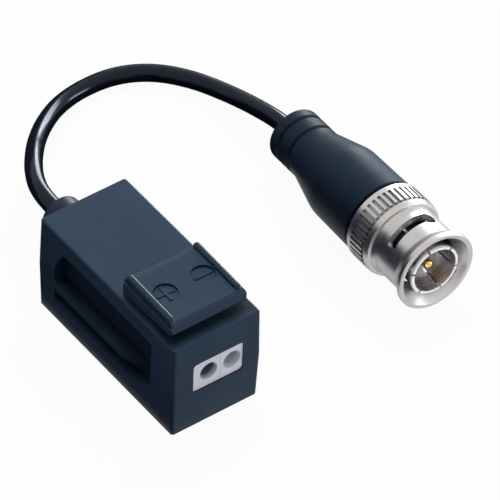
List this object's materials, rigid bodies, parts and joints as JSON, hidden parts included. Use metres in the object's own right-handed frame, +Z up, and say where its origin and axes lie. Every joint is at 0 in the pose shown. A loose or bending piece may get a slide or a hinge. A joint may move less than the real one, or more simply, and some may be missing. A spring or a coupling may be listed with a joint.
{
  "type": "cctv video balun",
  "caption": "Passive video balun: black moulded housing with a push terminal and press lever, and a short lead ending in a bayonet coaxial plug with a moulded boot",
  "frame": {"origin": "centre of the housing's base, on the surface it stands on", "axes": "+Z up, +Y from the terminal face towards the lead, +X towards the side where the plug lies"},
  "size_m": [0.0583, 0.0728, 0.0222],
  "materials": {
    "housing_plastic": "fine satin moulding",
    "lever_plastic": "satin moulding",
    "terminal_plastic": "smooth white moulding",
    "spring_steel": "rolled strip",
    "tinned_metal": "tinned",
    "board_laminate": "solder mask",
    "ferrite": "sintered",
    "copper_wire": "enamelled wire",
    "ceramic": "glazed",
    "cable_jacket": "glossy flexible jacket",
    "boot_rubber": "matt moulded rubber",
    "nickel_plate": "bright nickel plating",
    "gold_plate": "gold flash",
    "gasket_rubber": "matt rubber"
  },
  "bodies": {
    "housing": {"lower_shell": "housing_plastic", "upper_shell": "housing_plastic", "terminal_block": "terminal_plastic", "clamp_spring_plus": "spring_steel", "clamp_spring_minus": "spring_steel", "contact_bar_plus": "tinned_metal", "contact_bar_minus": "tinned_metal", "circuit_board": "board_laminate", "balun_core": "ferrite", "balun_winding": "copper_wire", "surge_arrester": "ceramic", "capacitor_plus": "ceramic", "capacitor_minus": "ceramic", "resistor_plus": "ferrite", "resistor_minus": "ferrite", "cable_gland": "cable_jacket", "lead_core": "terminal_plastic", "lead_braid": "copper_wire", "lead": "cable_jacket", "plug_boot": "boot_rubber", "plug_body": "nickel_plate", "crimp_ferrule": "nickel_plate", "retaining_ring": "spring_steel", "wave_washer": "spring_steel", "gasket": "gasket_rubber", "insulator": "terminal_plastic", "centre_pin": "gold_plate", "outer_contact": "nickel_plate"},
    "lever": {"press_lever": "lever_plastic"},
    "button_plus": {"plunger_plus": "terminal_plastic"},
    "button_minus": {"plunger_minus": "terminal_plastic"},
    "washer": {"thrust_washer": "nickel_plate"},
    "sleeve": {"coupling_sleeve": "nickel_plate"}
  },
  "joints": [
    {"name": "lever_press", "type": "hinge", "parent": "housing", "child": "lever", "pos_m": [0, -0.0049, 0.0159], "axis": [1, 0, 0], "range_deg": [0, 4.8]},
    {"name": "button_plus_slide", "type": "slide", "parent": "housing", "child": "button_plus", "axis": [0, 0, -1], "range_m": [0, 0.00048], "stiffness_N_per_m": 2000, "springref_m": -0.001, "deforming": ["clamp_spring_plus"]},
    {"name": "button_minus_slide", "type": "slide", "parent": "housing", "child": "button_minus", "axis": [0, 0, -1], "range_m": [0, 0.0006], "deforming": ["clamp_spring_minus"]},
    {"name": "sleeve_float", "type": "slide", "parent": "housing", "child": "washer", "axis": [-0.0373, -0.9983, 0.0438], "range_m": [0, 0.0005], "stiffness_N_per_m": 2000, "springref_m": -0.0005, "deforming": ["wave_washer"]},
    {"name": "sleeve_turn", "type": "hinge", "parent": "washer", "child": "sleeve", "pos_m": [0.04282, -0.00387, 0.00719], "axis": [-0.0373, -0.9983, 0.0438], "continuous": true}
  ],
  "couplings": [
    {"joint": "lever_press", "follows": "button_plus_slide", "rad_per_m": 161.3},
    {"joint": "button_minus_slide", "follows": "button_plus_slide", "ratio": 1}
  ]
}
